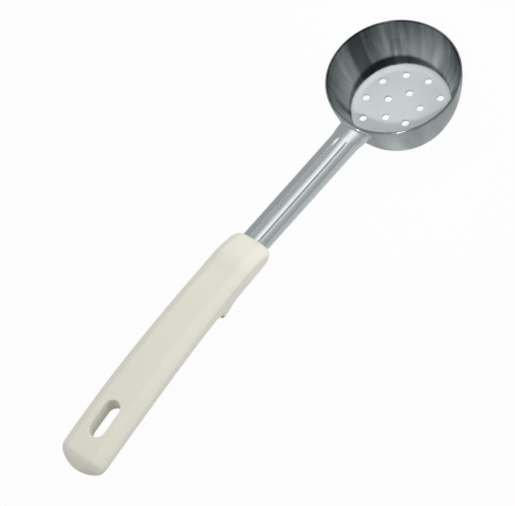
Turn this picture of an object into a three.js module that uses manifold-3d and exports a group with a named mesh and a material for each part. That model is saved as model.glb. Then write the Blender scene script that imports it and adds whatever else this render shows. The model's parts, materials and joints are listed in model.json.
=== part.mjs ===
// Perforated portion spoon, in millimetres with Z up, lying on a table at Z = 0.
// A drawn steel bowl with a drilled flat base, a pressed channel shank welded to the bowl's wall,
// and a plastic handle moulded round the shank's tang.
// X runs from the bowl to the tail of the handle, Y across it.
import * as THREE from "three";
import { mergeVertices } from "three/addons/utils/BufferGeometryUtils.js";
import Module from "manifold-3d";

// Bowl: a round cup of sheet steel.
const rimRadius = 35; // outside
const bowlDepth = 30.7; // underside to rim
const bowlSheet = 1.2;
const baseFlatRadius = 23; // flat part of the underside
const baseCornerRadius = 4.8; // outside of the bend from base to wall
const wallStartSlope = 61; // degrees, where that bend runs into the bellied wall
const holeDiameter = 3.8;
const holeLand = 0.4; // flat metal left outside the outer ring of holes
const outerHoles = 10;
const innerHoles = 5;
const innerRingShare = 0.465; // inner ring's radius over the outer ring's
const patternTurn = 11; // degrees from the handle's line to the hole pattern's

// Shank: a shallow channel pressed from sheet steel, open below, with a groove along its crowned top.
const shankReach = 83; // bowl wall to the handle's mouth
const shankRise = 5.5; // degrees above the plane of the rim
const shankDrop = 1.6; // top of the shank below the rim
const shankWidth = 15.4;
const shankHeight = 3.2; // at the handle's mouth, and of the tang
const rootHeight = 4.6; // at the bowl
const rootWidth = 17;
const rootFlare = 8.6; // length over which the shank widens to meet the bowl
const shankSheet = 1.5;
const shankEdgeRadius = 2.1; // outside of the folded edges
const shankCrown = 12; // degrees, slope of the crowned top where the folded edges begin
const grooveWidth = 5.2;
const grooveDepth = 0.65;
const grooveRunOut = 17; // the groove starts to fade at this distance from the bowl
const tangLength = 75; // part of the shank inside the handle
const lockDiameter = 5.8; // holes in the tang that the plastic fills
const lockPlaces = [27, 56]; // from the mouth

// Weld between the shank's end and the bowl's wall.
const weldLeg = 1.1;

// Handle: its sections follow the shank's line and then droop along an arc.
const gripLength = 137.6; // to the tail, from where the line begins to bend
const gripBend = 537; // radius of that arc
const noseLead = 2.7; // the mouth lies this far before the bend
const noseWidth = 22;
const noseTop = 2.6; // heights are from the top of the shank
const noseUnder = 7.7;
const noseLength = 16.7; // the nose rises to the grip's height over this distance from the mouth
const noseCorner = [4.5, 2]; // rounding of the nose's corners seen from above: length and width
const noseFront = [5, 1.9]; // bevel of its upper front edge: length and depth
const noseChin = [7.5, 3.2]; // rounding of its lower front edge: length and depth
const neckUnder = 8.3; // depth between the nose and the lug
const gripWidth = 22.2;
const gripTop = 5.9;
const gripUnder = 6.2;
const tailWidth = 25.5;
const tailTop = 5;
const tailUnder = 5.5;
const tailSpread = [19, 107]; // the grip widens and thins between these distances from the bend
const thumbHollow = 1.2; // dished thumb rest behind the nose
const thumbPlace = [12.5, 22, 44]; // start, deepest line and end of the dish
const edgeRadius = 2.5; // long upper edges
const bellyRadius = 2.5; // long lower edges
const draft = 0.4; // each side leans in by this towards the underside
const lugPlace = [25, 34.5, 36.5, 40.3]; // foot, tip, back of the tip and heel
const lugDepth = 5.4; // below the underside of the grip
const lugDraft = 0.6; // the lug's sides lean in by this much more
const notchRadius = 3.8; // hollow behind the lug for the rim of a pan
const notchBite = 0.9; // its depth into the grip and into the back of the lug
const tailArc = 18; // radius of the tail's end seen from above
const tailCorner = 3; // easing of the corners between that arc and the sides
const tailEase = 7; // length of the bevel on top of the tail's end
const tailFall = 4.8; // height of that bevel
const tailFlat = 1.3; // power of its curve: 1 is flat, 2 is round
const slotPlace = 111.8; // centre of the hanging slot
const slotLean = 10; // degrees, from square to the grip towards the bowl
const slotLength = 19.6;
const slotWidth = 8.6;
const slotEase = 0.8; // bevel round the slot's upper mouth
const slotFlare = 2.2; // and round its lower mouth

const joinGap = 0.3; // clearance between pieces that meet

const wasm = await Module();
wasm.setup();

const radians = THREE.MathUtils.degToRad;
const rise = radians(shankRise);

// 0 before `from`, 1 after `to`, and a smooth S between.
function blend(value, from, to) {
  return THREE.MathUtils.smoothstep(value, from, to);
}

// `count` equal steps from `from`, leaving `to` for the next run.
function steps(from, to, count) {
  return Array.from({ length: count }, (_, i) => from + ((to - from) * i) / count);
}

// Points of an arc about (cx, cy), both ends included.
function arc(cx, cy, radius, from, to, count) {
  return Array.from({ length: count + 1 }, (_, i) => {
    const angle = from + ((to - from) * i) / count;
    return new THREE.Vector2(cx + radius * Math.cos(angle), cy + radius * Math.sin(angle));
  });
}

// Closed geometry through rings of equal length; `outline` is a ring drawn flat, for the two caps.
function loft(rings, startOutline, endOutline = startOutline) {
  const size = rings[0].length;
  const last = (rings.length - 1) * size;
  const index = [];
  for (let k = 0; k < rings.length - 1; k++) {
    for (let i = 0; i < size; i++) {
      const a = k * size + i;
      const b = k * size + ((i + 1) % size);
      index.push(a, b, a + size);
      index.push(b, b + size, a + size);
    }
  }
  for (const [a, b, c] of THREE.ShapeUtils.triangulateShape(startOutline, [])) {
    index.push(a, c, b);
  }
  for (const [a, b, c] of THREE.ShapeUtils.triangulateShape(endOutline, [])) {
    index.push(last + a, last + b, last + c);
  }
  const geometry = new THREE.BufferGeometry().setFromPoints(rings.flat());
  geometry.setIndex(index);
  return geometry;
}

function toSolid(geometry) {
  const bare = geometry.clone();
  bare.deleteAttribute("normal");
  bare.deleteAttribute("uv");
  const merged = mergeVertices(bare, 1e-4);
  const triVerts = [];
  const from = merged.index.array;
  for (let i = 0; i < from.length; i += 3) {
    const [a, b, c] = from.subarray(i, i + 3);
    if (a !== b && b !== c && c !== a) triVerts.push(a, b, c);
  }
  const vertProperties = merged.attributes.position.array;
  return new wasm.Manifold(new wasm.Mesh({ numProp: 3, vertProperties, triVerts: new Uint32Array(triVerts) }));
}

function toGeometry(solid) {
  const mesh = solid.getMesh();
  const geometry = new THREE.BufferGeometry();
  geometry.setAttribute("position", new THREE.BufferAttribute(mesh.vertProperties, 3));
  geometry.setIndex(new THREE.BufferAttribute(mesh.triVerts, 1));
  geometry.computeVertexNormals();
  return geometry;
}

// Bowl.

// Side view of the bowl's outer skin: flat base, bend, and a wall arc tangent to the bend that ends
// just under the rim. The same arcs serve every skin that runs parallel to it.
const slope = radians(wallStartSlope);
const bend = new THREE.Vector2(baseFlatRadius, baseCornerRadius);
const wallFoot = new THREE.Vector2(
  bend.x + baseCornerRadius * Math.sin(slope),
  bend.y - baseCornerRadius * Math.cos(slope),
);
const wallHead = new THREE.Vector2(rimRadius, bowlDepth - bowlSheet / 2);
const chord = wallFoot.clone().sub(wallHead);
const inward = new THREE.Vector2(-Math.sin(slope), Math.cos(slope));
const wallRadius = -chord.lengthSq() / (2 * inward.dot(chord));
const wallCentre = wallFoot.clone().addScaledVector(inward, wallRadius);
const wallEnd = wallHead.clone().sub(wallCentre).angle();

function bowlSkin(offset) {
  const start = -Math.PI / 2;
  const foot = slope + start;
  const end = wallEnd > Math.PI ? wallEnd - 2 * Math.PI : wallEnd;
  return [
    new THREE.Vector2(0, -offset),
    ...arc(bend.x, bend.y, baseCornerRadius + offset, start, foot, 4),
    ...arc(wallCentre.x, wallCentre.y, wallRadius + offset, foot, end, 7).slice(1),
  ];
}

// Outside radius of the wall at height z, for a skin moved outwards by `offset`.
function wallAt(z, offset) {
  return wallCentre.x + Math.sqrt((wallRadius + offset) ** 2 - (z - wallCentre.y) ** 2);
}

function revolve(profile) {
  return new THREE.LatheGeometry(profile, 64).rotateX(Math.PI / 2);
}

function makeBowl() {
  const outer = bowlSkin(0);
  const inner = bowlSkin(-bowlSheet).reverse();
  const edge = outer.at(-1).clone().add(inner[0]).multiplyScalar(0.5);
  const out = outer.at(-1).clone().sub(edge).angle();
  const lip = arc(edge.x, edge.y, bowlSheet / 2, out, out + Math.PI, 4).slice(1, -1);
  let solid = toSolid(revolve([...outer, ...lip, ...inner]));
  const outerRing = baseFlatRadius - holeLand - holeDiameter / 2;
  const rings = [
    { count: outerHoles, radius: outerRing, turn: patternTurn + 180 / outerHoles },
    { count: innerHoles, radius: outerRing * innerRingShare, turn: patternTurn + 180 },
  ];
  for (const { count, radius, turn } of rings) {
    for (let i = 0; i < count; i++) {
      const angle = radians(turn + (360 * i) / count);
      const drill = new THREE.CylinderGeometry(holeDiameter / 2, holeDiameter / 2, 4 * bowlSheet, 20);
      drill.rotateX(Math.PI / 2);
      drill.translate(radius * Math.cos(angle), radius * Math.sin(angle), bowlSheet / 2);
      solid = solid.subtract(toSolid(drill));
    }
  }
  return solid;
}

// Everything inside the bowl's outer skin plus a clearance, for fitting the shank's end.
function bowlBlank(offset) {
  const skin = bowlSkin(offset);
  const above = [new THREE.Vector2(skin.at(-1).x, 2 * bowlDepth), new THREE.Vector2(0, 2 * bowlDepth)];
  return toSolid(revolve([...skin, ...above]));
}

// Line of the shank and the handle: straight from the bowl's wall to the mouth, then an arc.
const mouth = new THREE.Vector3(
  rimRadius + shankReach * Math.cos(rise),
  0,
  bowlDepth - shankDrop + shankReach * Math.sin(rise),
);

function lineSlope(along) {
  return rise - Math.max(along, 0) / gripBend;
}

// Point beside the line: `along` from the mouth, y across, h above.
function place(along, y, h) {
  const lean = lineSlope(along);
  const straight = Math.min(along, 0);
  const x = mouth.x + straight * Math.cos(rise) + gripBend * (Math.sin(rise) - Math.sin(lean));
  const z = mouth.z + straight * Math.sin(rise) + gripBend * (Math.cos(lean) - Math.cos(rise));
  return new THREE.Vector3(x - h * Math.sin(lean), y, z + h * Math.cos(lean));
}

// Turns and moves a geometry drawn about the origin (Z up) to stand on the line.
function stand(geometry, along, h) {
  return geometry.rotateY(-lineSlope(along)).translate(...place(along, 0, h).toArray());
}

// Shank.

const bowlWall = -shankReach;

// Upper skin of the channel from one lip over the top to the other, with outward normals.
function channelSkin(along) {
  const spread = 1 - blend(along, bowlWall, bowlWall + rootFlare);
  const half = (shankWidth + (rootWidth - shankWidth) * spread) / 2;
  const height = shankHeight + (rootHeight - shankHeight) * THREE.MathUtils.clamp(along / bowlWall, 0, 1);
  const depth = grooveDepth * blend(along, bowlWall + grooveRunOut / 4, bowlWall + grooveRunOut);
  const crown = radians(shankCrown);
  const edge = half - shankEdgeRadius * (1 - Math.sin(crown));
  const fall = (edge * Math.tan(crown)) / 2;
  const foldY = edge - shankEdgeRadius * Math.sin(crown);
  const foldH = -fall - shankEdgeRadius * Math.cos(crown);
  const side = [{ y: half, h: -height, ny: 1, nh: 0 }];
  for (const p of arc(foldY, foldH, shankEdgeRadius, 0, Math.PI / 2 - crown, 4)) {
    side.push({ y: p.x, h: p.y, ny: (p.x - foldY) / shankEdgeRadius, nh: (p.y - foldH) / shankEdgeRadius });
  }
  const brink = grooveWidth / 2;
  const places = [...steps(edge, brink, 3).slice(1), ...steps(brink, 0, 4)];
  for (const y of places) {
    const turn = (Math.PI * Math.min(y, brink)) / brink;
    const slope = (-2 * fall * y) / edge ** 2 + (depth * Math.PI * Math.sin(turn)) / grooveWidth;
    const length = Math.hypot(slope, 1);
    const h = -fall * (y / edge) ** 2 - (depth * (1 + Math.cos(turn))) / 2;
    side.push({ y, h, ny: -slope / length, nh: 1 / length });
  }
  const middle = { y: 0, h: -depth, ny: 0, nh: 1 };
  const mirrored = side.map(({ y, h, ny, nh }) => ({ y: -y, h, ny: -ny, nh })).reverse();
  return [...side, middle, ...mirrored];
}

// Section of the sheet, grown on all sides by `offset`.
function channelSection(along, offset) {
  const skin = channelSkin(along);
  const grown = (p, distance) => new THREE.Vector2(p.y + distance * p.ny, p.h + distance * p.nh);
  const outer = skin.map((p) => grown(p, offset));
  const inner = skin.map((p) => grown(p, -shankSheet - offset)).reverse();
  for (const lip of [outer[0], outer.at(-1), inner[0], inner.at(-1)]) lip.y -= offset;
  return [...outer, ...inner];
}

function channel(from, to, offset) {
  const stations = [
    ...steps(bowlWall, bowlWall + rootFlare, 5),
    ...steps(bowlWall + rootFlare, bowlWall + grooveRunOut, 3),
    ...steps(bowlWall + grooveRunOut, 0, 2),
    ...steps(0, tangLength, 8),
  ].filter((along) => along > from + 0.5 && along < to - 0.5);
  const sections = [from, ...stations, to].map((along) => ({ along, outline: channelSection(along, offset) }));
  const rings = sections.map(({ along, outline }) => outline.map((p) => place(along, p.x, p.y)));
  return toSolid(loft(rings, sections[0].outline, sections.at(-1).outline));
}

function lockPlug(along, diameter) {
  const plug = new THREE.CylinderGeometry(diameter / 2, diameter / 2, 4 * shankSheet, 24).rotateX(Math.PI / 2);
  return toSolid(stand(plug, along, -shankSheet / 2));
}

function makeShank() {
  let solid = channel(bowlWall - 12, tangLength, 0);
  solid = solid.subtract(bowlBlank(joinGap));
  for (const along of lockPlaces) solid = solid.subtract(lockPlug(along, lockDiameter));
  return solid;
}

// Weld.

// Distance along the line at which the point (y, h) meets the bowl's wall, kept clear by the gap.
function meetWall(y, h) {
  let along = bowlWall;
  for (let i = 0; i < 8; i++) {
    const { z } = place(along, y, h);
    const x = Math.sqrt(wallAt(z, joinGap) ** 2 - y * y);
    along = (x - mouth.x + h * Math.sin(rise)) / Math.cos(rise);
  }
  return along;
}

// Fillet that follows the shank's outline on the wall, from lip to lip over the top.
function makeWeld() {
  const corners = [
    [0, 0],
    [0, 1],
    [0.62, 0.62],
    [1, 0],
  ];
  const rings = channelSkin(bowlWall).map(({ y, h, ny, nh }) =>
    corners.map(([up, off]) => {
      const py = y + (joinGap + up * weldLeg) * ny;
      const ph = h + (joinGap + up * weldLeg) * nh;
      return place(meetWall(py, ph) + off * weldLeg, py, ph);
    }),
  );
  return toSolid(loft(rings, corners.map(([up, off]) => new THREE.Vector2(off, up))));
}

// Handle.

// Fall of a quarter ellipse towards an end: nothing farther from it than `length`, `depth` at the end.
function roundOff(distance, length, depth, power = 2) {
  const into = THREE.MathUtils.clamp(1 - distance / length, 0, 1);
  return depth * (1 - (1 - into ** power) ** (1 / power));
}

// The smaller of two sizes, eased where they are within `reach` of each other.
function lesser(a, b, reach) {
  const share = THREE.MathUtils.clamp(0.5 + (b - a) / (2 * reach), 0, 1);
  return b + (a - b) * share - reach * share * (1 - share);
}

// Sizes of the handle's section at a distance from the bend.
function gripSize(along) {
  const ahead = along + noseLead;
  const nose = THREE.MathUtils.clamp(1 - ahead / noseLength, 0, 1) ** 1.4;
  const spread = blend(along, ...tailSpread);
  const width = gripWidth + (noseWidth - gripWidth) * nose + (tailWidth - gripWidth) * spread;
  const [foot, tip, back, heel] = lugPlace;
  const behind = blend(along, back, heel);
  const lug = blend(along, foot, tip) - behind;
  const top = gripTop + (noseTop - gripTop) * nose + (tailTop - gripTop) * spread;
  const front = neckUnder + (noseUnder - neckUnder) * nose;
  const rear = gripUnder + (tailUnder - gripUnder) * spread;
  const under = front + (rear - front) * behind + (gripUnder + lugDepth - front) * lug;
  const left = gripLength - along;
  const into = Math.min(left, tailArc);
  const end = Math.sqrt(into * (2 * tailArc - into)) + left - into;
  const [restStart, restDeep, restEnd] = thumbPlace;
  return {
    half: lesser(width / 2 - roundOff(ahead, ...noseCorner), end, tailCorner),
    top: top - roundOff(ahead, ...noseFront, 1.5) - roundOff(left, tailEase, tailFall, tailFlat),
    under: under - roundOff(ahead, ...noseChin) - roundOff(left, tailEase / 2, 0.3 * tailFall),
    lean: draft + lugDraft * lug,
    hollow: thumbHollow * (blend(along, restStart, restDeep) - blend(along, restDeep, restEnd)),
  };
}

function gripSection(along) {
  const { half, top, under, lean, hollow } = gripSize(along);
  const r = Math.min(edgeRadius, 0.85 * half, 0.45 * (top + under));
  const q = Math.min(bellyRadius, 0.7 * half, 0.45 * (top + under));
  const low = Math.max(half - lean, q);
  const quarter = Math.PI / 2;
  const dish = [0.75, 0.5, 0.25, 0, -0.25, -0.5, -0.75].map(
    (share) => new THREE.Vector2(share * (half - r), top - hollow * Math.cos(share * quarter) ** 2),
  );
  return [
    ...arc(low - q, q - under, q, -quarter, 0, 5),
    ...arc(half - r, top - r, r, 0, quarter, 5),
    ...dish,
    ...arc(r - half, top - r, r, quarter, 2 * quarter, 5),
    ...arc(q - low, q - under, q, 2 * quarter, 3 * quarter, 5),
  ];
}

function gripBody() {
  const [restStart, restDeep, restEnd] = thumbPlace;
  const tailReach = tailEase + tailCorner;
  const tailStart = gripLength - tailReach;
  const round = arc(tailStart, 0, tailReach, -Math.PI / 2, 0, 13).map((p) => p.x).slice(0, -1);
  const stations = [
    ...steps(0, 1, 7).map((share) => noseChin[0] * share ** 2 - noseLead),
    ...steps(noseChin[0] - noseLead, noseLength - noseLead, 4),
    ...steps(restStart, restDeep, 5),
    ...steps(restDeep, restEnd, 7),
    ...steps(restEnd, tailStart, 9),
    ...steps(lugPlace[0], lugPlace[1], 5),
    ...steps(lugPlace[1], lugPlace[2], 1),
    ...steps(lugPlace[2], lugPlace[3], 5),
    ...round,
  ].sort((a, b) => a - b);
  stations.push(gripLength - 0.004 * tailReach);
  const spaced = stations.filter((along, i) => i === 0 || along - stations[i - 1] > 0.15);
  const outlines = spaced.map(gripSection);
  const rings = outlines.map((outline, i) => outline.map((p) => place(spaced[i], p.x, p.y)));
  return toSolid(loft(rings, outlines[0], outlines.at(-1)));
}

// Slot with round ends, opened out at both faces; its levels slide along the grip as it leans.
function slotCutter() {
  const { top, under } = gripSize(slotPlace);
  const levels = [
    [-under - 1, slotFlare + 1],
    [slotFlare - under, 0],
    [top - slotEase, 0],
    [top + 1, slotEase + 1],
  ];
  const outline = (grow) => {
    const radius = slotWidth / 2 + grow;
    const centre = (slotLength - slotWidth) / 2;
    const quarter = Math.PI / 2;
    return [
      ...arc(centre, 0, radius, -quarter, quarter, 10),
      ...arc(-centre, 0, radius, quarter, 3 * quarter, 10),
    ];
  };
  const slide = Math.tan(radians(slotLean));
  const rings = levels.map(([h, grow]) => outline(grow).map((p) => new THREE.Vector3(p.x - h * slide, p.y, h)));
  return toSolid(stand(loft(rings, outline(0)), slotPlace, 0));
}

function notchCutter() {
  const back = lugPlace[2];
  const bar = new THREE.CylinderGeometry(notchRadius, notchRadius, 2 * tailWidth, 32);
  return toSolid(stand(bar, back + notchRadius - notchBite, notchBite - gripUnder - notchRadius));
}

function makeHandle() {
  let tangSpace = channel(-noseLead - 2, tangLength + joinGap, joinGap);
  for (const along of lockPlaces) tangSpace = tangSpace.subtract(lockPlug(along, lockDiameter - 2 * joinGap));
  return gripBody().subtract(notchCutter()).subtract(slotCutter()).subtract(tangSpace);
}

// Assembly.

const steel = { color: 0xb4b6b6, metalness: 1, roughness: 0.28 };
const ivory = { color: 0xdcd9c8, metalness: 0, roughness: 0.45 };

function piece(name, solid, finish) {
  const mesh = new THREE.Mesh(toGeometry(solid), new THREE.MeshStandardMaterial(finish));
  mesh.name = name;
  return mesh;
}

const bowl = piece("bowl", makeBowl(), steel);
const shank = piece("shank", makeShank(), steel);
const weld = piece("weld_bead", makeWeld(), { ...steel, roughness: 0.4 });
const handle = piece("handle", makeHandle(), ivory);

const upright = new THREE.Group();
upright.add(bowl, shank, weld, handle);

// Lowest point of a piece once the spoon leans towards its tail by an angle.
function lowest(mesh, lean) {
  const points = mesh.geometry.attributes.position;
  let low = Infinity;
  for (let i = 0; i < points.count; i++) {
    low = Math.min(low, points.getZ(i) * Math.cos(lean) - points.getX(i) * Math.sin(lean));
  }
  return low;
}

// The spoon tips back until the edge of the bowl's base and the tail both touch the table.
let [level, tipped] = [0, Math.PI / 4];
for (let i = 0; i < 40; i++) {
  const lean = (level + tipped) / 2;
  if (lowest(handle, lean) > lowest(bowl, lean)) level = lean;
  else tipped = lean;
}
upright.rotation.y = level;

const spoon = new THREE.Group();
spoon.add(upright);
spoon.updateMatrixWorld(true);
const box = new THREE.Box3().setFromObject(spoon, true);
const centre = box.getCenter(new THREE.Vector3());
upright.position.set(-centre.x, -centre.y, -box.min.z);

export default spoon;
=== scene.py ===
import json
import math

import bmesh
import bpy
import numpy as np
from mathutils import Matrix, Quaternion, Vector
from mathutils.geometry import delaunay_2d_cdt


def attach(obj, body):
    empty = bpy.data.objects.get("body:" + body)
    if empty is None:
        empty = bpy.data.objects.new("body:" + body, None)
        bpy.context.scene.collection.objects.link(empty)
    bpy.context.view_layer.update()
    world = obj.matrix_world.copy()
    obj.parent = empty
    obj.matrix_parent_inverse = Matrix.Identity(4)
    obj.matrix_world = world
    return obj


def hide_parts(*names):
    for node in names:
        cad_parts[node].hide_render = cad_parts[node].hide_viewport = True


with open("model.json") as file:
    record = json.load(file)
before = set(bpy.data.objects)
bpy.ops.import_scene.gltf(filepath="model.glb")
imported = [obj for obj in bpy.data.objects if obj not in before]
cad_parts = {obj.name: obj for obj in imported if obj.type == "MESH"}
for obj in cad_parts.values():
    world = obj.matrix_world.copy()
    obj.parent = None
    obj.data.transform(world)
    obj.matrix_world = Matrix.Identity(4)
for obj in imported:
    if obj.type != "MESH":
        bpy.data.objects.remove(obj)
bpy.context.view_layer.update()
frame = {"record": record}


# Bowl. A round cup drawn from stainless sheet, with drain holes punched through its flat base.
# It was polished on a turning spindle, so its faint lines run round it, and it lies tipped back
# on the edge of its base. Sizes are in millimetres from the middle of the underside.

rim_radius = 35.0
bowl_depth = 30.7
bowl_sheet = 1.2
base_flat_radius = 23.0
base_corner_radius = 4.8
wall_start_slope = math.radians(61)
hole_radius = 1.9
hole_land = 0.4
hole_edge = 0.14
outer_holes, inner_holes = 10, 5
inner_ring_share = 0.465
pattern_turn = math.radians(11)
seam_land = 0.1
seam_join = 1e-7
turn_steps = 288
hole_steps = 48

rest = next(m for m in frame["record"]["mounts"] if m["name"] == "bowl_base")
base_centre = np.array(rest["pos_m"])
bowl_axis = -np.array(rest["axis"]) / np.linalg.norm(rest["axis"])
sideways = np.array([0.0, 1.0, 0.0])
spoon_axes = np.stack([np.cross(sideways, bowl_axis), sideways, bowl_axis])


def on_table(x, y, z):
    """Points of the spoon's own frame, in millimetres with x towards the handle and z up the bowl's
    axis, as points of the shared frame in metres: the base's centre plus x, y and z times the axes."""
    own = np.stack(np.broadcast_arrays(x, y, z), axis=-1) / 1000
    return base_centre + own @ spoon_axes


def in_spoon(points):
    """The way back: the distances, in millimetres, of points from the base's centre along each axis."""
    return (points - base_centre) @ spoon_axes.T * 1000


def rise(value, start, end):
    """Nothing before the start, one after the end, and even between; the end may lie below the start."""
    return np.clip((value - start) / (end - start), 0, 1)


def round_points(centre, radius, angle):
    """Points on a circle: the centre plus the radius times the cosine and sine of each angle."""
    return np.stack([centre[0] + radius * np.cos(angle), centre[1] + radius * np.sin(angle)], axis=1)


def arc(centre, radius, start, end, count):
    """Points of an arc, at evenly spaced angles from the start to the end."""
    return round_points(centre, radius, np.linspace(start, end, count + 1))


def full_turn(count):
    """Evenly spaced angles once round a circle."""
    return np.arange(count) * 2 * math.pi / count


def ring_faces(rows, columns):
    """Quads that join each point of a stack of closed rings, stored ring by ring, to the next point and
    to the next ring."""
    row = np.arange(rows - 1)[:, None] * columns
    column = np.arange(columns)[None, :]
    beyond = (column + 1) % columns
    corners = [row + column, row + beyond, row + columns + beyond, row + columns + column]
    return np.stack(corners, axis=-1).reshape(-1, 4)


def new_piece(name, *patches):
    """One object from patches of points and faces: their common borders are joined into a closed
    skin, whose faces are turned outwards and shaded smooth."""
    starts = np.cumsum([0] + [len(points) for points, _ in patches])
    mesh = bpy.data.meshes.new(name)
    shifted = [(faces + start).tolist() for (_, faces), start in zip(patches, starts)]
    faces = [face for patch in shifted for face in patch]
    mesh.from_pydata(np.concatenate([points for points, _ in patches]), [], faces)
    skin = bmesh.new()
    skin.from_mesh(mesh)
    bmesh.ops.remove_doubles(skin, verts=skin.verts, dist=seam_join)
    bmesh.ops.recalc_face_normals(skin, faces=skin.faces)
    skin.to_mesh(mesh)
    skin.free()
    mesh.shade_smooth()
    piece = bpy.data.objects.new(name, mesh)
    bpy.context.scene.collection.objects.link(piece)
    return piece


def mesh_points(piece):
    """All of a piece's points as one array of three columns."""
    points = np.empty(3 * len(piece.data.vertices), np.float32)
    piece.data.vertices.foreach_get("co", points)
    return points.reshape(-1, 3).astype(float)


def set_lay(piece, lay, dull, stain_and_shade, marks=0.0):
    """Stores on each point where it lies for the polishing lines, two numbers along the lines and one
    across them in millimetres, and from 0 to 1 how dull and how marked by drawing it was left and how far
    stains and painted shade darken it."""
    zero = np.zeros(len(lay))
    left = np.stack([zero + dull, zero + stain_and_shade, zero + marks], axis=1)
    for name, values in (("lay", lay), ("left", left)):
        layer = piece.data.attributes.new(name, "FLOAT_VECTOR", "POINT")
        layer.data.foreach_set("vector", values.astype(np.float32).ravel())


# The wall seen from the side is one arc, tangent to the bend at the base and ending under the rim.
bend_centre = np.array([base_flat_radius, base_corner_radius])
slope_out = np.array([math.sin(wall_start_slope), -math.cos(wall_start_slope)])
wall_foot = bend_centre + base_corner_radius * slope_out
wall_head = np.array([rim_radius, bowl_depth - bowl_sheet / 2])
wall_chord = wall_foot - wall_head
wall_radius = wall_chord @ wall_chord / (2 * slope_out @ wall_chord)
wall_centre = wall_foot - wall_radius * slope_out
wall_end = math.atan2(*(wall_head - wall_centre)[::-1])


def bowl_skin(offset):
    """Side view of a skin parallel to the bowl's outside: the bend's arc and then the wall's arc, both
    with the offset added to their radii."""
    foot = wall_start_slope - math.pi / 2
    bend = arc(bend_centre, base_corner_radius + offset, -math.pi / 2, foot, 14)
    wall = arc(wall_centre, wall_radius + offset, foot, wall_end, 36)
    return np.concatenate([bend, wall[1:]])


def revolve(profile, steps, x=0.0, y=0.0):
    """A profile of radius and height turned about an upright axis: the axis's x and y plus the radius
    times the cosine and sine of the turn, at the profile's height."""
    turn = full_turn(steps)
    radius, height = profile[:, :1], profile[:, 1:]
    points = on_table(x + radius * np.cos(turn), y + radius * np.sin(turn), height)
    return points.reshape(-1, 3), ring_faces(len(profile), steps)


def punched_plate(border, holes, height):
    """The flat base at one height: triangles that fill the border circle, less those that have all
    their corners on one hole's circle."""
    loops = [border, *holes]
    sizes = np.array([len(loop) for loop in loops])
    owner = np.repeat(np.arange(len(loops)), sizes)
    point = np.arange(sizes.sum())
    onward = point + 1
    onward[np.cumsum(sizes) - 1] -= sizes
    edges = np.stack([point, onward], axis=1).tolist()
    flat = np.concatenate(loops).tolist()
    fill_within, nearest = 1, 1e-6
    points, _, faces, *_ = delaunay_2d_cdt(flat, edges, [], fill_within, nearest)
    points, faces = np.array(points), np.array(faces)
    on_loop = owner[faces]
    in_hole = (on_loop[:, 0] > 0) & (on_loop == on_loop[:, :1]).all(axis=1)
    return on_table(points[:, 0], points[:, 1], height), faces[~in_hole]


def make_bowl():
    """The revolved wall, whose lip is a half circle as wide as the sheet, the two faces of the base,
    and the walls of the holes, which are small circles swept through the sheet with eased edges."""
    outer = bowl_skin(0)
    inner = bowl_skin(-bowl_sheet)[::-1]
    lip_centre = (outer[-1] + inner[0]) / 2
    out = math.atan2(*(outer[-1] - lip_centre)[::-1])
    lip = arc(lip_centre, bowl_sheet / 2, out, out + math.pi, 8)[1:-1]
    seam = base_flat_radius - seam_land
    profile = np.concatenate([[[seam, 0]], outer, lip, inner, [[seam, bowl_sheet]]])
    outer_ring = base_flat_radius - hole_land - hole_radius
    inner_ring = outer_ring * inner_ring_share
    outer_turn = pattern_turn + math.pi / outer_holes + full_turn(outer_holes)
    inner_turn = pattern_turn + math.pi + full_turn(inner_holes)
    rings = np.repeat([outer_ring, inner_ring], [outer_holes, inner_holes])
    centres = round_points((0, 0), rings, np.concatenate([outer_turn, inner_turn]))
    eased = hole_radius + hole_edge
    round_in = arc((eased, bowl_sheet - hole_edge), hole_edge, math.pi / 2, math.pi, 4)
    round_out = arc((eased, hole_edge), hole_edge, math.pi, 1.5 * math.pi, 4)
    border = eased + seam_land
    bore = np.concatenate([[[border, bowl_sheet]], round_in, round_out, [[border, 0]]])
    disc = round_points((0, 0), seam, full_turn(turn_steps))
    rounds = [round_points(centre, border, full_turn(hole_steps)) for centre in centres]
    return new_piece(
        "bowl_shell",
        revolve(profile, turn_steps),
        *[revolve(bore, hole_steps, *centre) for centre in centres],
        *[punched_plate(disc, rounds, height) for height in (0, bowl_sheet)],
    )


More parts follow.
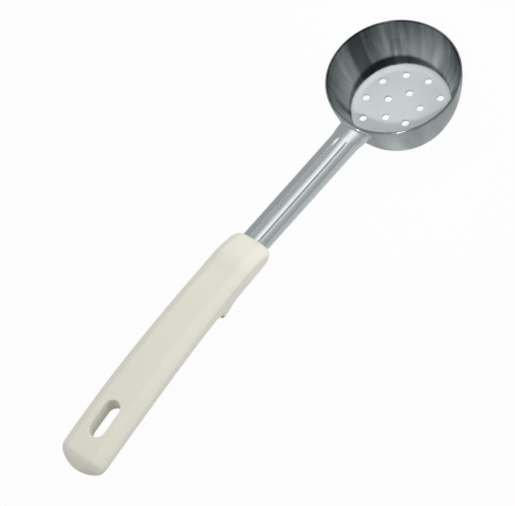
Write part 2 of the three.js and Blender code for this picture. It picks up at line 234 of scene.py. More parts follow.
class Shade:
    """A socket of a material. Arithmetic on shades adds Math nodes, and node() adds any other node:
    its settings first, then the values or links of its sockets."""

    def __init__(self, socket):
        self.socket = socket

    def feed(self, end):
        """Links this socket to the one that an end shade wraps."""
        self.socket.id_data.links.new(self.socket, end.socket)

    def node(self, kind, settings, sockets, output=0):
        tree = self.socket.id_data
        made = tree.nodes.new(kind)
        for name, value in settings.items():
            if name == "stops":
                ramp = made.color_ramp
                for _ in value[2:]:
                    ramp.elements.new(0.5)
                for element, (position, colour) in zip(ramp.elements, value):
                    element.position = position
                    element.color = (*colour, 1)
            else:
                setattr(made, name, value)
        for name, value in sockets.items():
            if isinstance(value, Shade):
                value.feed(Shade(made.inputs[name]))
            else:
                made.inputs[name].default_value = value
        return Shade(made.outputs[output])

    def math(self, operation, first, second=0.0):
        return self.node("ShaderNodeMath", {"operation": operation}, {0: first, 1: second})

    def __add__(self, other):
        return self.math("ADD", self, other)

    def __sub__(self, other):
        return self.math("SUBTRACT", self, other)

    def __rsub__(self, other):
        return self.math("SUBTRACT", other, self)

    def __mul__(self, other):
        return self.math("MULTIPLY", self, other)

    __radd__ = __add__
    __rmul__ = __mul__

    def stretched(self, *scale):
        """The vector with each of its parts multiplied by a number."""
        return self.node("ShaderNodeVectorMath", {"operation": "MULTIPLY"}, {0: self, 1: scale})

    def noise(self, scale, detail=3.0, rough=0.5):
        """Smooth random values about a half, read at this vector."""
        sockets = {"Vector": self, "Scale": scale, "Detail": detail, "Roughness": rough}
        return self.node("ShaderNodeTexNoise", {}, sockets)

    def between(self, low, high):
        """A mix of two colours by this value; the first may be a shade."""
        mix = {"data_type": "RGBA", "clamp_factor": True}
        first = low if isinstance(low, Shade) else (*low, 1)
        return self.node("ShaderNodeMix", mix, {0: self, 6: first, 7: (*high, 1)}, output=2)

    def bump(self, depth=1.0):
        """A normal pushed about by this height times a depth in metres."""
        return self.node("ShaderNodeBump", {}, {"Height": self, "Distance": depth, "Strength": 1.0})


def clear_nodes(owner, output):
    """Empties the nodes of a material or a room, and gives the surface socket of a new output."""
    owner.use_nodes = True
    owner.node_tree.nodes.clear()
    return Shade(owner.node_tree.nodes.new(output).inputs["Surface"])


def new_finish(name):
    """An empty material, and the shade of its output's surface socket to build on."""
    material = bpy.data.materials.new(name)
    return material, clear_nodes(material, "ShaderNodeOutputMaterial")


def close_finish(surface, sockets):
    """Ends a material with a principled shader that takes these values and links."""
    surface.node("ShaderNodeBsdfPrincipled", {}, sockets).feed(surface)


# Markings of polished sheet, in waves per millimetre: two numbers along the polishing lines and one
# across them. The clouds are in waves per metre. The rest says how far each state of the sheet shows.
hairline_waves = (0.04, 0.04, 2.5)
band_waves = (0.02, 0.02, 0.7)
draw_waves = (0.07, 0.07, 0.008)
cloud_waves = 70.0
draw_contrast = 5.0
outside_marks = 0.25
dull_lift = 0.4
dull_scatter = 0.8
# How far stains and painted shade cover the tone, and how much of the dark colour they keep.
stain_and_shade_cover = 0.95
stain_and_shade_share = 0.1
quarter_turn = 0.25


def polished_steel(name, dark, light, gloss, line_depth, draw_depth=0.0, brushed=0.0):
    """Stainless sheet: hairlines drawn out along the polishing direction, broader bands of them, and
    clouds where the wheel pressed unevenly change its tone and gloss a little. Gloss is the roughness
    where the wheel reached and where it did not; dull metal scatters light, and stains and painted shade
    darken it. Drawn sheet also keeps shallow waves that run down its wall, as tone and as height, and a
    sheet brushed in rings spreads its reflections across them."""
    material, surface = new_finish(name)
    lay, left = (
        surface.node("ShaderNodeAttribute", {"attribute_name": layer}, {}, output=1)
        for layer in ("lay", "left")
    )
    dull, stain_and_shade, marks = (
        surface.node("ShaderNodeSeparateXYZ", {}, {0: left}, output=part)
        for part in range(3)
    )
    place = surface.node("ShaderNodeTexCoord", {}, {}, output=3)
    hairline = lay.stretched(*hairline_waves).noise(1.0)
    band = lay.stretched(*band_waves).noise(1.0)
    cloud = place.noise(cloud_waves)
    tone = 0.4 * hairline + 0.35 * band + 0.25 * cloud
    height = (0.6 * hairline + 0.4 * band) * line_depth
    if draw_depth:
        draw = lay.stretched(*draw_waves).noise(1.0, detail=4.0, rough=0.6)
        tone = 0.15 * hairline + 0.2 * band + 0.15 * cloud + 0.15
        tone = tone + draw_contrast * (draw - 0.5) * marks
        reached = surface.math("MINIMUM", marks * (1 / outside_marks), 1.0)
        height = height + draw * (1 - dull) * reached * draw_depth
    clean = (tone + dull_lift * dull).between(dark, light)
    # Stains, and the painted shade inside the bowl, darken the steel towards this colour.
    stain_and_shade_colour = tuple(stain_and_shade_share * part for part in dark)
    bright, satin = gloss
    close_finish(surface, {
        "Base Color": (stain_and_shade * stain_and_shade_cover).between(clean, stain_and_shade_colour),
        "Metallic": 1 - dull_scatter * dull,
        "Roughness": bright + (satin - bright) * dull + 0.05 * (hairline - 0.5) + 0.1 * (cloud - 0.5),
        "Anisotropic": brushed,
        "Anisotropic Rotation": quarter_turn,
        "Normal": height.bump(),
    })
    return material


def in_bowl(places):
    """Which places lie nearer the bowl's inner skin than its outer one, by their distance from the
    middle of the bend's arc below and of the wall's arc above; the base is split at half its height."""
    side = np.stack([np.hypot(places[:, 0], places[:, 1]), places[:, 2]], axis=1)
    in_bend = np.hypot(*(side - bend_centre).T) < base_corner_radius - bowl_sheet / 2
    in_wall = np.hypot(*(side - wall_centre).T) < wall_radius - bowl_sheet / 2
    on_plate = (side[:, 0] < base_flat_radius) & (side[:, 1] > bowl_sheet / 2)
    return np.where(side[:, 1] < wall_foot[1], in_bend | on_plate, in_wall)


# What polishing and use left inside the bowl, and painted shade, by heights above the underside: a satin
# base, a dark crescent of painted shade in the corner round it that is highest on one side, painted shade
# that grows up the wall towards the rim, and wear on the lip.
corner_low, corner_least, corner_most = 3.2, 4.4, 9.0
corner_side = math.radians(-130)
corner_power = 3
corner_fade = (0.6, 1.6)
satin_fade = 0.3
rim_low, rim_high, rim_shade_depth = 6.0, 27.0, 0.6
lip_low, lip_high, lip_stain = bowl_depth - 0.9, bowl_depth - 0.4, 0.35

bowl = make_bowl()
spun = in_spoon(mesh_points(bowl))
level = spun[:, 2]
spun_radius = np.maximum(np.hypot(spun[:, 0], spun[:, 1]), 1e-6)
spun_lay = np.stack([
    rim_radius * spun[:, 0] / spun_radius,
    rim_radius * spun[:, 1] / spun_radius,
    spun_radius + level,
], axis=1)
inside = in_bowl(spun)
# Painted shade: a dark crescent darkens the bowl's corner, most on one side.
from_side = np.arctan2(spun[:, 1], spun[:, 0]) - corner_side
shaded_side_weight = (0.5 + 0.5 * np.cos(from_side)) ** corner_power
corner_high = corner_least + (corner_most - corner_least) * shaded_side_weight
painted_corner_shade = rise(level, corner_low, corner_low + corner_fade[0])
painted_corner_shade *= rise(level, corner_high, corner_high - corner_fade[1])
painted_corner_shade *= 0.5 + 0.5 * shaded_side_weight
# Painted shade: the inner wall is darkened more and more up towards the rim.
painted_rim_shade = rim_shade_depth * rise(level, rim_low, rim_high)
painted_inner_shade = np.where(inside, painted_corner_shade + painted_rim_shade, 0)
lip_wear = lip_stain * rise(level, lip_low, lip_high)
satin_base = np.where(inside, rise(level, corner_low + satin_fade, corner_low - satin_fade), 0)
draw_marks = np.where(inside, 1.0, outside_marks * rise(level, 0, base_corner_radius))
# The stain channel carries the painted shade inside the bowl as well as the wear on its lip.
set_lay(bowl, spun_lay, satin_base, painted_inner_shade + lip_wear, draw_marks)
bowl.data.materials.append(polished_steel(
    "drawn_steel",
    dark=(0.17, 0.184, 0.188),
    light=(0.66, 0.71, 0.72),
    gloss=(0.36, 0.6),
    line_depth=4e-7,
    draw_depth=1.2e-4,
    brushed=0.95,
))
bowl.data.materials.append(polished_steel(
    "satin_steel",
    dark=(0.55, 0.59, 0.60),
    light=(0.69, 0.74, 0.755),
    gloss=(0.36, 0.6),
    line_depth=4e-7,
))
face_centres = np.empty(3 * len(bowl.data.polygons), np.float32)
bowl.data.polygons.foreach_get("center", face_centres)
face_places = in_spoon(face_centres.reshape(-1, 3).astype(float))
in_satin = in_bowl(face_places) & (face_places[:, 2] < corner_low)
bowl.data.polygons.foreach_set("material_index", in_satin.astype(np.int32))
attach(bowl, "root")
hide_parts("bowl")


# Shank. A shallow channel pressed from stainless sheet, open below, with a groove along its crowned
# top; its end is cut to the bowl's wall, and its far half is the tang that the handle is moulded on.
# Distances along it are from the handle's mouth, heights from its top line.

shank_reach = 83.0
shank_rise = math.radians(5.5)
shank_drop = 1.6
shank_width = 15.4
shank_height = 3.2
root_height = 4.6
root_width = 17.0
root_flare = 8.6
shank_sheet = 1.5
shank_edge_radius = 2.1
shank_crown = math.radians(12)
groove_floor = 4.0
groove_width = 6.4
groove_depth = 0.34
groove_run_out = 17.0
groove_crease = 0.05
tang_length = 75.0
lock_diameter = 5.8
lock_places = (27.0, 56.0)
lock_reach = (-6.0, 3.0)
cope_spare = 4.0
cope_gap = 0.02
cut_join = 2e-7
cut_sharp = math.radians(35)
grip_bend = 537.0
mouth_x = rim_radius + shank_reach * math.cos(shank_rise)
mouth_z = bowl_depth - shank_drop + shank_reach * math.sin(shank_rise)


def smooth_step(value, start, end):
    """Nothing before the start, one after the end, and three squares less two cubes between."""
    share = rise(value, start, end)
    return share * share * (3 - 2 * share)


def on_line(along, across, height):
    """Points beside the line of the shank and handle, which is straight up to the mouth and then bends
    down on an arc: the line's point, plus the height along the line's upward normal."""
    lean = shank_rise - np.maximum(along, 0) / grip_bend
    straight = np.minimum(along, 0)
    x = mouth_x + straight * math.cos(shank_rise) + grip_bend * (math.sin(shank_rise) - np.sin(lean))
    z = mouth_z + straight * math.sin(shank_rise) + grip_bend * (np.cos(lean) - math.cos(shank_rise))
    return on_table(x - height * np.sin(lean), across, z + height * np.cos(lean))


def wall_distance(across, height):
    """How far along the line a point meets the bowl's wall: the wall's radius at the point's level is
    put in for its distance from the axis, a few times over."""
    along = np.full(np.broadcast(across, height).shape, -shank_reach)
    for _ in range(12):
        z = mouth_z + along * math.sin(shank_rise) + height * math.cos(shank_rise)
        radius = wall_centre[0] + np.sqrt(wall_radius**2 - (z - wall_centre[1]) ** 2)
        x = np.sqrt(radius**2 - across**2)
        along = (x - mouth_x + height * math.sin(shank_rise)) / math.cos(shank_rise)
    return along


def channel_skin(along):
    """Upper skin of the channel from lip to lip: a straight side, an arc up to the crown's slope, a
    crown that falls with the square of the distance from the middle, and a groove with a level floor and
    straight sloping sides. Gives each point's place across and up and the crown's outward normal."""
    root = -shank_reach
    spread = 1 - smooth_step(along, root, root + root_flare)
    half = (shank_width + (root_width - shank_width) * spread) / 2
    tall = shank_height + (root_height - shank_height) * rise(along, 0, root)
    depth = groove_depth * smooth_step(along, root + groove_run_out / 4, root + groove_run_out)
    edge = half - shank_edge_radius * (1 - math.sin(shank_crown))
    fall = edge * math.tan(shank_crown) / 2
    fold_y = edge - shank_edge_radius * math.sin(shank_crown)
    fold_h = -fall - shank_edge_radius * math.cos(shank_crown)
    bend = np.linspace(0, math.pi / 2 - shank_crown, 11)
    side = np.linspace(1, 0, 4)[:-1]
    brink, foot = groove_width / 2, groove_floor / 2
    slope = brink + groove_crease + (edge - brink - groove_crease) * np.linspace(1, 0, 9)[1:]
    dip = np.concatenate([
        [brink],
        np.linspace(brink - groove_crease, foot + groove_crease, 6),
        [foot],
        np.linspace(foot - groove_crease, 0, 9),
    ])
    top = np.concatenate([slope, dip + 0 * edge], axis=1)
    y = np.concatenate([half + 0 * side, fold_y + shank_edge_radius * np.cos(bend), top], axis=1)
    h = np.concatenate([
        fold_h - (tall + fold_h) * side,
        fold_h + shank_edge_radius * np.sin(bend),
        -fall * (top / edge) ** 2,
    ], axis=1)
    y = np.concatenate([y, -y[:, -2::-1]], axis=1)
    h = np.concatenate([h, h[:, -2::-1]], axis=1)
    run_y, run_h = np.gradient(y, axis=1), np.gradient(h, axis=1)
    length = np.hypot(run_y, run_h)
    groove = depth * rise(abs(y), brink, foot)
    return y, h - groove, run_h / length, -run_y / length


def channel_ring(along, grow):
    """Outline of the sheet's section, grown by an amount: the upper skin, then the skin one sheet
    below it the other way round."""
    y, h, out_y, out_h = channel_skin(along)
    below = shank_sheet + grow
    ring_y = np.concatenate([y + grow * out_y, (y - below * out_y)[:, ::-1]], axis=1)
    ring_h = np.concatenate([h + grow * out_h, (h - below * out_h)[:, ::-1]], axis=1)
    return ring_y, ring_h


def channel_patches(stations, grow, meets_wall):
    """The channel's skin along the stations, and its two ends; where it meets the bowl, the points of
    the first stations slide along the line to the wall."""
    ring_y, ring_h = channel_ring(stations[:, None], grow)
    along = np.broadcast_to(stations[:, None], ring_y.shape).copy()
    if meets_wall:
        cut = wall_distance(ring_y[0], ring_h[0]) + cope_gap
        free = -shank_reach + root_flare
        before = along < free
        share = (along - stations[0]) / (free - stations[0])
        along = np.where(before, cut + share * (free - cut), along)
    points = on_line(along, ring_y, ring_h)
    rows, columns = ring_y.shape
    side = np.arange(columns // 2 - 1)
    strip = np.stack([side, side + 1, columns - 2 - side, columns - 1 - side], axis=1)
    ends = np.concatenate([strip, strip + (rows - 1) * columns])
    faces = np.concatenate([ring_faces(rows, columns), ends])
    return points.reshape(-1, 3), faces


def cut_away(piece, *cutters):
    """Takes cutters out of a piece and deletes them; edges of the cuts stay sharp."""
    for cutter in cutters:
        cut = piece.modifiers.new("cut", "BOOLEAN")
        cut.solver = "EXACT"
        cut.operation = "DIFFERENCE"
        cut.object = cutter
    bpy.context.view_layer.update()
    shaped = piece.evaluated_get(bpy.context.evaluated_depsgraph_get())
    done = bpy.data.meshes.new_from_object(shaped)
    piece.modifiers.clear()
    piece.data = done
    for cutter in cutters:
        bpy.data.objects.remove(cutter)
    skin = bmesh.new()
    skin.from_mesh(done)
    bmesh.ops.remove_doubles(skin, verts=skin.verts, dist=cut_join)
    bmesh.ops.dissolve_degenerate(skin, edges=skin.edges, dist=seam_join)
    skin.to_mesh(done)
    skin.free()
    done.shade_smooth()
    done.set_sharp_from_angle(angle=cut_sharp)


def closed_bar(name, rings):
    """A piece through rings of equal length, each an array of points, closed at both ends by triangles
    from the end ring's middle to each of its sides."""
    rows, columns, _ = rings.shape
    first = np.arange(columns)
    lid = np.stack([first, (first + 1) % columns, np.full(columns, columns)], axis=1)
    ends = [
        (np.concatenate([ring, ring.mean(axis=0, keepdims=True)]), lid)
        for ring in (rings[0], rings[-1])
    ]
    return new_piece(name, (rings.reshape(-1, 3), ring_faces(rows, columns)), *ends)


def lock_pin(along, diameter):
    """An upright round bar through the tang: a circle at two heights."""
    x, y = round_points((along, 0), diameter / 2, full_turn(48)).T
    return closed_bar("lock_pin", on_line(x, y, np.array(lock_reach)[:, None]))


shank_stations = np.concatenate([
    np.linspace(-shank_reach - cope_spare, -shank_reach + root_flare, 20)[:-1],
    np.linspace(-shank_reach + root_flare, -shank_reach + groove_run_out, 14)[:-1],
    np.linspace(-shank_reach + groove_run_out, 0, 12)[:-1],
    np.linspace(0, tang_length, 40),
])
shank = new_piece("shank_channel", channel_patches(shank_stations, 0.0, meets_wall=True))
cut_away(shank, *[lock_pin(along, lock_diameter) for along in lock_places])
pressed = in_spoon(mesh_points(shank))
pressed_across = pressed[:, 1] + 2 * pressed[:, 2]
pressed_lay = np.stack([pressed[:, 0], 0 * pressed[:, 0], pressed_across], axis=1)
set_lay(shank, pressed_lay, dull=0.0, stain_and_shade=0.0)
shank.data.materials.append(polished_steel(
    "pressed_steel",
    dark=(0.47, 0.505, 0.515),
    light=(0.61, 0.655, 0.67),
    gloss=(0.21, 0.4),
    line_depth=1.2e-7,
))
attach(shank, "root")
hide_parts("shank")


# Weld. A fillet of stainless filler laid round the shank's end on the bowl's wall, from lip to lip over
# the top, and brushed clean; its ripples are the steps in which it was laid.

weld_leg = 1.1
weld_sunk = 0.25
weld_taper = 0.6
weld_tip = 0.02
ripple_pitch = 0.9
ripple_height = 0.07


def make_weld():
    """A fillet carried along the shank's outline on the wall: its section is a quarter of a bead, half
    way between a circle and a straight slope, from the wall to the shank's skin. Its size swells a little
    with each ripple, and falls with a square root to both ends."""
    y, h, out_y, out_h = (part[0] for part in channel_skin(np.array([[-shank_reach]])))
    run = np.concatenate([[0], np.cumsum(np.hypot(np.diff(y), np.diff(h)))])
    fine = np.linspace(0, run[-1], 260)
    y, h, out_y, out_h = (np.interp(fine, run, part) for part in (y, h, out_y, out_h))
    swell = 1 + ripple_height / weld_leg * np.cos(2 * math.pi * fine / ripple_pitch)
    to_end = np.minimum(fine, run[-1] - fine)
    swell *= np.sqrt(np.clip(to_end / weld_taper + weld_tip, 0, 1))
    quarter = arc((0, 0), 1.0, 0, math.pi / 2, 10)
    face = (quarter + quarter**2) / 2
    bead = np.concatenate([[[-weld_sunk, -weld_sunk], [1, -weld_sunk]], face, [[-weld_sunk, 1]]])
    up = (weld_leg * swell)[:, None] * bead[:, 0]
    off = (weld_leg * swell)[:, None] * bead[:, 1]
    across = y[:, None] + up * out_y[:, None]
    height = h[:, None] + up * out_h[:, None]
    return closed_bar("weld_fillet", on_line(wall_distance(across, height) + off, across, height))


weld = make_weld()
laid = in_spoon(mesh_points(weld))
set_lay(weld, laid[:, [1, 0, 2]], dull=0.3, stain_and_shade=0.2)
weld.data.materials.append(polished_steel(
    "weld_steel",
    dark=(0.40, 0.415, 0.42),
    light=(0.58, 0.605, 0.61),
    gloss=(0.2, 0.4),
    line_depth=3e-6,
))
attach(weld, "root")
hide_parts("weld_bead")


# Handle. One moulding in ivory plastic round the tang, with sloping shoulders: a square nose, a dished
# thumb rest, a stop lug with a hollow behind it for a pan's rim, and a hanging slot near the rounded
# tail. The plastic flowed into the tang's two holes and locks it there.

grip_length = 137.6
nose_lead = 2.7
nose_width = 22.0
nose_top = 2.6
nose_under = 7.7
nose_length = 16.7
nose_power = 1.4
nose_corner = (4.5, 2.0)
nose_front = (5.0, 1.9, 1.5)
nose_chin = (7.5, 3.2)
neck_under = 8.3
grip_width = 22.2
grip_top = 5.9
grip_under = 6.2
tail_width = 25.5
tail_top = 5.0
tail_under = 5.5
tail_spread = (19.0, 107.0)
thumb_hollow = 1.2
thumb_place = (12.5, 22.0, 44.0)
thumb_power = 4
shoulder = (5.5, 4.5)
shoulder_most = 0.85
shoulder_flat = 1.5
belly_radius = 2.5
belly_most = 0.7
round_most = 0.45
draft = 0.4
lug_place = (25.0, 34.5, 36.5, 40.3)
lug_depth = 5.4
lug_draft = 0.6
notch_radius = 3.8
notch_bite = 0.9
tail_arc = 18.0
tail_corner = 3.0
tail_ease = 7.0
tail_fall = 4.8
tail_drop = (tail_ease, tail_fall, 1.3)
tail_lift = (tail_ease / 2, 0.3 * tail_fall)
tail_end = 0.0004
lug_past = 60.0
slot_place = 111.8
slot_lean = math.radians(10)
slot_length = 19.6
slot_width = 8.6
slot_ease = 0.8
slot_flare = 2.2
slot_steps = 33
cutter_spare = 2.0
mould_fit = 0.04


def round_off(distance, length, depth, power=2.0):
    """Fall of a quarter ellipse towards an end, by the distance from it; a power below two makes it
    flatter and one above squarer."""
    into = np.clip(1 - distance / length, 0, 1)
    return depth * (1 - (1 - into**power) ** (1 / power))


def lesser(a, b, reach):
    """The smaller of two sizes, eased by a parabola where they are within a reach of each other."""
    share = np.clip(0.5 + (b - a) / (2 * reach), 0, 1)
    return b + (a - b) * share - reach * share * (1 - share)


def grip_size(along):
    """Half width, heights above and below the line, lean of the sides and depth of the thumb rest at
    distances from the bend: plain sizes of nose, grip and tail blended by smooth steps."""
    ahead = along + nose_lead
    nose = np.clip(1 - ahead / nose_length, 0, 1) ** nose_power
    spread = smooth_step(along, *tail_spread)
    foot, tip, back, heel = lug_place
    behind = smooth_step(along, back, heel)
    lug = smooth_step(along, foot, tip) - behind
    width = grip_width + (nose_width - grip_width) * nose + (tail_width - grip_width) * spread
    top = grip_top + (nose_top - grip_top) * nose + (tail_top - grip_top) * spread
    front = neck_under + (nose_under - neck_under) * nose
    rear = grip_under + (tail_under - grip_under) * spread
    under = front + (rear - front) * behind + (grip_under + lug_depth - front) * lug
    to_tail = grip_length - along
    into = np.minimum(to_tail, tail_arc)
    blunt = np.sqrt(into * (2 * tail_arc - into)) + to_tail - into
    start, deep, end = thumb_place
    return (
        lesser(width / 2 - round_off(ahead, *nose_corner), blunt, tail_corner),
        top - round_off(ahead, *nose_front) - round_off(to_tail, *tail_drop),
        under - round_off(ahead, *nose_chin) - round_off(to_tail, *tail_lift),
        draft + lug_draft * lug,
        thumb_hollow * (smooth_step(along, start, deep) - smooth_step(along, deep, end)),
    )


def grip_ring(along):
    """Outline of the handle across the line, half from the middle of the underside to the middle of the
    top and then mirrored: flat under, quarter circle, leaning side, a shoulder that falls as round_off
    does with a low power, and a level top. The thumb rest sinks the top and, less and less with the
    fourth power of the place across, the shoulders."""
    half, top, under, lean, hollow = grip_size(along)
    reach = np.minimum(shoulder[0], shoulder_most * half)
    fall = np.minimum(shoulder[1], round_most * (top + under))
    lower = np.minimum.reduce([
        0 * half + belly_radius,
        belly_most * half,
        round_most * (top + under),
    ])
    low = np.maximum(half - lean, lower)
    bend = np.linspace(0, math.pi / 2, 11)
    even = np.linspace(0, 1, 7)
    side = np.linspace(0, 1, 8)[1:-1]
    inward = np.linspace(0, 1, 19) ** 2
    dish = np.linspace(1, 0, 13)[1:]
    shoulder_sink = hollow * (1 - (1 - reach * inward / half) ** thumb_power)
    top_sink = hollow * (1 - ((1 - reach / half) * dish) ** thumb_power)
    y = np.concatenate([
        (low - lower) * even[:-1],
        low - lower + lower * np.sin(bend),
        low + (half - low) * side,
        half - reach * inward,
        (half - reach) * dish,
    ], axis=1)
    h = np.concatenate([
        -under + 0 * even[:-1],
        lower - under - lower * np.cos(bend),
        lower - under + (top - fall + under - lower) * side,
        top - round_off(reach * inward, reach, fall, shoulder_flat) - shoulder_sink,
        top - top_sink,
    ], axis=1)
    ring_y = np.concatenate([y, -y[:, -2:0:-1]], axis=1)
    ring_h = np.concatenate([h, h[:, -2:0:-1]], axis=1)
    return ring_y, ring_h


def grip_body():
    """The handle's outline carried along the line, closer together where its shape turns quickly, with
    a flat face at each end."""
    tail_reach = tail_ease + tail_corner
    tail_start = grip_length - tail_reach
    tail = tail_start + tail_reach * np.sin(np.linspace(0, math.pi / 2, 44))
    stations = np.concatenate([
        nose_chin[0] * np.linspace(0, 1, 40)[:-1] ** 2 - nose_lead,
        np.linspace(nose_chin[0] - nose_lead, lug_past, 180)[:-1],
        np.linspace(lug_past, tail_start, 90)[:-1],
        tail[:-1],
        [grip_length - tail_end * tail_reach],
    ])[:, None]
    return closed_bar("handle_moulding", on_line(stations, *grip_ring(stations)))


def slot_cutter():
    """A bar with the slot's outline, two half circles and two straights, that leans towards the bowl and
    opens out at both faces along a quarter circle, a wider one below."""
    top, under = (float(size[0, 0]) for size in grip_size(np.array([[slot_place]]))[1:3])
    quarter = arc((0, 0), 1.0, 0, math.pi / 2, 8)
    height = np.concatenate([
        [-under - cutter_spare],
        slot_flare * (1 - quarter[::-1, 1]) - under,
        slot_ease * (quarter[:, 1] - 1) + top,
        [top + cutter_spare],
    ])[:, None]
    grow = np.concatenate([
        [slot_flare],
        slot_flare * (1 - quarter[::-1, 0]),
        slot_ease * (1 - quarter[:, 0]),
        [slot_ease],
    ])[:, None]
    half_turn = np.linspace(-math.pi / 2, math.pi / 2, slot_steps)
    turn = np.concatenate([half_turn, half_turn + math.pi])
    shift = np.repeat([1, -1], slot_steps) * (slot_length - slot_width) / 2
    radius = slot_width / 2 + grow
    lean = shank_rise - slot_place / grip_bend
    x = shift + radius * np.cos(turn) - height * math.tan(slot_lean)
    y = radius * np.sin(turn)
    middle = in_spoon(on_line(slot_place, 0.0, 0.0))
    return closed_bar("slot_cutter", on_table(
        middle[0] + x * math.cos(lean) - height * math.sin(lean),
        y,
        middle[2] + x * math.sin(lean) + height * math.cos(lean),
    ))


def notch_cutter():
    """A round bar across the handle, bitten a little into its underside and into the back of the lug."""
    along = lug_place[2] + notch_radius - notch_bite
    lift = notch_bite - grip_under - notch_radius
    x, height = round_points((along, lift), notch_radius, full_turn(96)).T
    across = np.array([[-tail_width], [tail_width]])
    return closed_bar("notch_cutter", on_line(x, across, height))


def tang_cutter():
    """The tang with a hair of clearance, less the plastic that fills its two holes."""
    mouth = [-nose_lead - cutter_spare]
    stations = np.concatenate([mouth, np.linspace(0, tang_length + mould_fit, 40)])
    tang = new_piece("tang_cutter", channel_patches(stations, mould_fit, meets_wall=False))
    cut_away(tang, *[lock_pin(along, lock_diameter - 2 * mould_fit) for along in lock_places])
    return tang


def moulded_ivory(name, dark, light, grain_depth):
    """Ivory plastic: a fine even grain from the mould, faint streaks drawn out along the flow of the
    plastic, slow clouds of tone and gloss, and specks. The noises are in waves per metre."""
    material, surface = new_finish(name)
    place = surface.node("ShaderNodeTexCoord", {}, {}, output=3)
    cloud = place.noise(28.0)
    flow = place.stretched(0.12, 1.0, 1.0).noise(420.0)
    grain = place.noise(3800.0, detail=2.0)
    speck = place.noise(900.0, detail=2.0)
    tone = 0.55 * cloud + 0.25 * flow + 0.2 * speck
    close_finish(surface, {
        "Base Color": tone.between(dark, light),
        "Roughness": 0.42 + 0.14 * (cloud - 0.5) + 0.12 * (speck - 0.5),
        "Normal": (0.7 * grain + 0.3 * speck).bump(grain_depth),
        "IOR": 1.5,
    })
    return material


handle = grip_body()
cut_away(handle, notch_cutter(), slot_cutter(), tang_cutter())
handle.data.materials.append(moulded_ivory(
    "ivory_plastic",
    dark=(0.765, 0.75, 0.64),
    light=(0.845, 0.83, 0.73),
    grain_depth=1.2e-5,
))
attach(handle, "root")
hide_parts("handle")


# Studio. A wide white floor that the spoon lies on, in a pale room with a dark patch on the viewer's
# side. Five soft lamps stand round the spoon and one narrow lamp lights its bowl, and a long lens
# looks down on it past the handle's tail.

floor_half = 6.0
floor_grey = (0.58, 0.58, 0.58, 1)
floor_white = (1, 1, 1, 1)
floor_seen = 0.96
floor_mirrored = 0.6
room_tones = ((0.0, 0.75), (0.15, 0.6), (0.5, 0.55), (0.9, 0.48), (1.0, 0.6))
dark_side = (0.489, 0.590, 0.643)
dark_from, dark_full, dark_share = 0.75, 0.94, 0.06

floor_mesh = bpy.data.meshes.new("floor")
floor_corners = floor_half * np.array([[-1, -1, 0], [1, -1, 0], [1, 1, 0], [-1, 1, 0]])
floor_mesh.from_pydata(floor_corners, [], [(0, 1, 2, 3)])
floor = bpy.data.objects.new("floor", floor_mesh)
bpy.context.scene.collection.objects.link(floor)
white_floor, floor_surface = new_finish("white_floor")
paper = floor_surface.node("ShaderNodeBsdfDiffuse", {}, {"Color": floor_grey})
glow = floor_surface.node("ShaderNodeEmission", {}, {"Color": floor_white, "Strength": 1.0})
seen, mirrored, through = (
    floor_surface.node("ShaderNodeLightPath", {}, {}, output=path)
    for path in ("Is Camera Ray", "Is Glossy Ray", "Is Transmission Ray")
)
shown = floor_seen * seen + floor_mirrored * mirrored + floor_seen * through
share = floor_surface.math("MINIMUM", shown, floor_seen)
floor_surface.node("ShaderNodeMixShader", {}, {0: share, 1: paper, 2: glow}).feed(floor_surface)
floor_mesh.materials.append(white_floor)

world = bpy.data.worlds.new("pale_room")
room = clear_nodes(world, "ShaderNodeOutputWorld")
heading = room.node("ShaderNodeTexCoord", {}, {}, output=0)
upward = room.node("ShaderNodeSeparateXYZ", {}, {0: heading}, output=2)
stops = [(height, (grey, grey, grey)) for height, grey in room_tones]
room_tone = room.node("ShaderNodeValToRGB", {"stops": stops}, {0: upward})
dot = {"operation": "DOT_PRODUCT"}
facing = room.node("ShaderNodeVectorMath", dot, {0: heading, 1: dark_side}, output=1)
eased = {"interpolation_type": "SMOOTHSTEP"}
fade = {0: facing, 1: dark_from, 2: dark_full, 3: 1.0, 4: dark_share}
dim = room.node("ShaderNodeMapRange", eased, fade)
room.node("ShaderNodeBackground", {}, {"Color": room_tone, "Strength": dim}).feed(room)
bpy.context.scene.world = world


def seen_from(azimuth, elevation):
    """The direction from the spoon to a lamp or viewer: its angle round the spoon, from the -Y side
    towards +X, and its angle above the floor, both in degrees."""
    a, e = math.radians(azimuth), math.radians(elevation)
    return Vector((math.sin(a) * math.cos(e), -math.cos(a) * math.cos(e), math.sin(e)))


def stand_lamp(lamp, target, back, distance, turn=0):
    """Puts a lamp at a distance from its target along a direction, facing it and turned about it."""
    placed = bpy.data.objects.new(lamp.name, lamp)
    placed.location = target + distance * back
    turned = Quaternion((0, 0, 1), math.radians(turn))
    placed.rotation_euler = (back.to_track_quat("Z", "Y") @ turned).to_euler()
    bpy.context.scene.collection.objects.link(placed)
    return placed


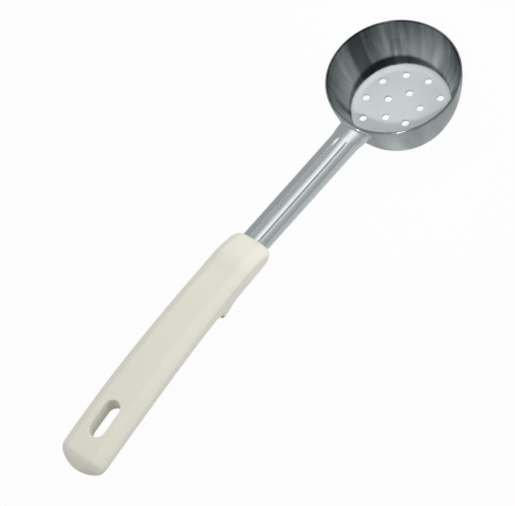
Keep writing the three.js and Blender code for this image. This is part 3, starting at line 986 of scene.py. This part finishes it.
def soft_lamp(name, side, distance, size, brightness, turn=0, mirrored=True):
    """A flat lamp facing the spoon. Its power is pi times its area times the brightness of its face; one
    that is not mirrored lights the spoon unseen in the steel."""
    lamp = bpy.data.lights.new(name, "AREA")
    lamp.shape = "RECTANGLE"
    lamp.size, lamp.size_y = size
    lamp.energy = math.pi * size[0] * size[1] * brightness
    placed = stand_lamp(lamp, Vector((0, 0, 0)), seen_from(*side), distance, turn)
    placed.visible_glossy = mirrored


soft_lamp("back_lamp", side=(-51.5, 58.6), distance=1.5, size=(2.2, 0.3), brightness=1.35, turn=42)
soft_lamp("left_lamp", side=(48, 35), distance=1.5, size=(0.4, 1.0), brightness=1.2)
soft_lamp("right_lamp", side=(212, 35), distance=1.5, size=(0.6, 1.0), brightness=0.3)
soft_lamp("top_lamp", side=(145, 70), distance=1.6, size=(1.2, 1.2), brightness=0.7)
soft_lamp("fill_lamp", side=(208, 38), distance=1.6, size=(1.4, 1.4), brightness=1.95, mirrored=False)

narrow_lamp = bpy.data.lights.new("bowl_lamp", "SPOT")
narrow_lamp.energy = 170.0
narrow_lamp.shadow_soft_size = 0.08
narrow_lamp.spot_size = math.radians(3.2)
narrow_lamp.spot_blend = 0.5
bowl_middle = Vector(on_table(0, 0, bowl_depth / 2))
stand_lamp(narrow_lamp, bowl_middle, seen_from(122, 44), distance=1.5)

photo_width = 515
photo_focus = 1800
photo_side = (140.3586, 54.035)
photo_roll = math.radians(13.9507)
photo_aim = Vector((0.0059, 0.0007, 0.015))
photo_distance = 0.88145

lens = bpy.data.cameras.new("photo_view")
lens.sensor_fit = "HORIZONTAL"
lens.sensor_width = 36
lens.lens = lens.sensor_width * photo_focus / photo_width
back = seen_from(*photo_side)
right = Vector((0, 0, 1)).cross(back).normalized()
upright = back.cross(right)
up = upright * math.cos(photo_roll) + right * math.sin(photo_roll)
facing_spoon = Matrix((up.cross(back), up, back)).transposed().to_4x4()
camera = bpy.data.objects.new("photo_view", lens)
camera.matrix_world = Matrix.Translation(photo_aim + photo_distance * back) @ facing_spoon
bpy.context.scene.collection.objects.link(camera)
bpy.context.scene.camera = camera
bpy.context.scene.view_settings.view_transform = "Standard"
